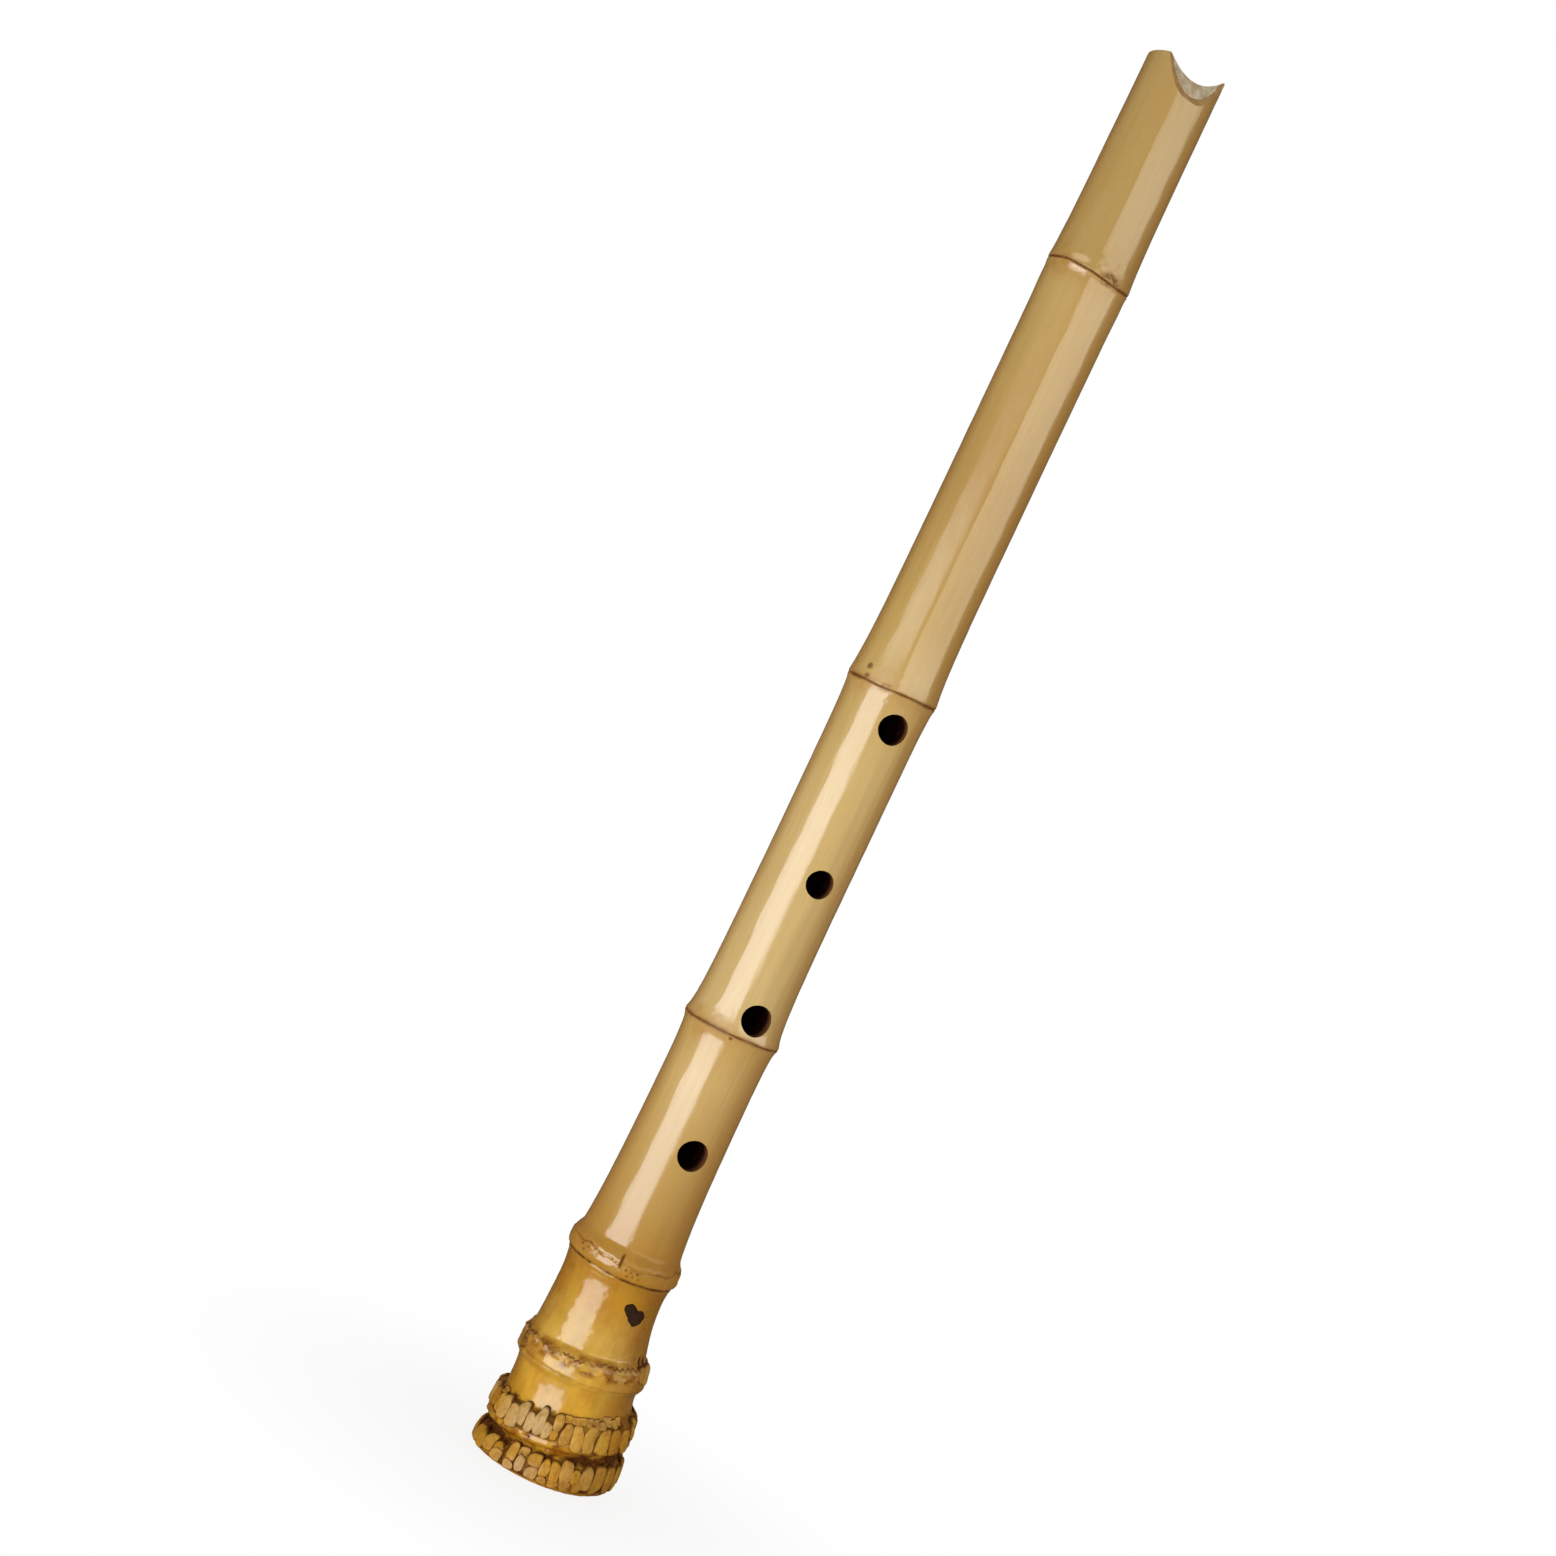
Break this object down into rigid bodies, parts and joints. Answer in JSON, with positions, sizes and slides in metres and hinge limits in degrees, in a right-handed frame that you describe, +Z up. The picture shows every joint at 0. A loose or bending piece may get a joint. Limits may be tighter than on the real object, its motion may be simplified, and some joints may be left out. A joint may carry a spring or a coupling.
{
  "type": "shakuhachi",
  "caption": "End-blown bamboo flute with a flared root end, a steep mouth cut with a pale inlay, front finger holes and a thumb hole behind.",
  "frame": {"origin": "on the flat root end, at the middle of the root's box, which is the middle of the bore there", "axes": "+Z up the bore towards the mouth, -Y out of the finger holes and the mouth cut, +Y out of the thumb hole"},
  "size_m": [0.0551, 0.0551, 0.545],
  "materials": {
    "bamboo": "polished golden bamboo, browner and rougher at the root",
    "pale_horn": "satin grey-beige horn",
    "bore_lacquer": "glossy red-black lacquer over paste",
    "dark_lacquer_paste": "satin dark brown lacquer paste"
  },
  "bodies": {
    "root": {"culm": "bamboo", "mouth_inlay": "pale_horn", "bore_lining": "bore_lacquer", "scar_filler": "dark_lacquer_paste"}
  },
  "joints": []
}
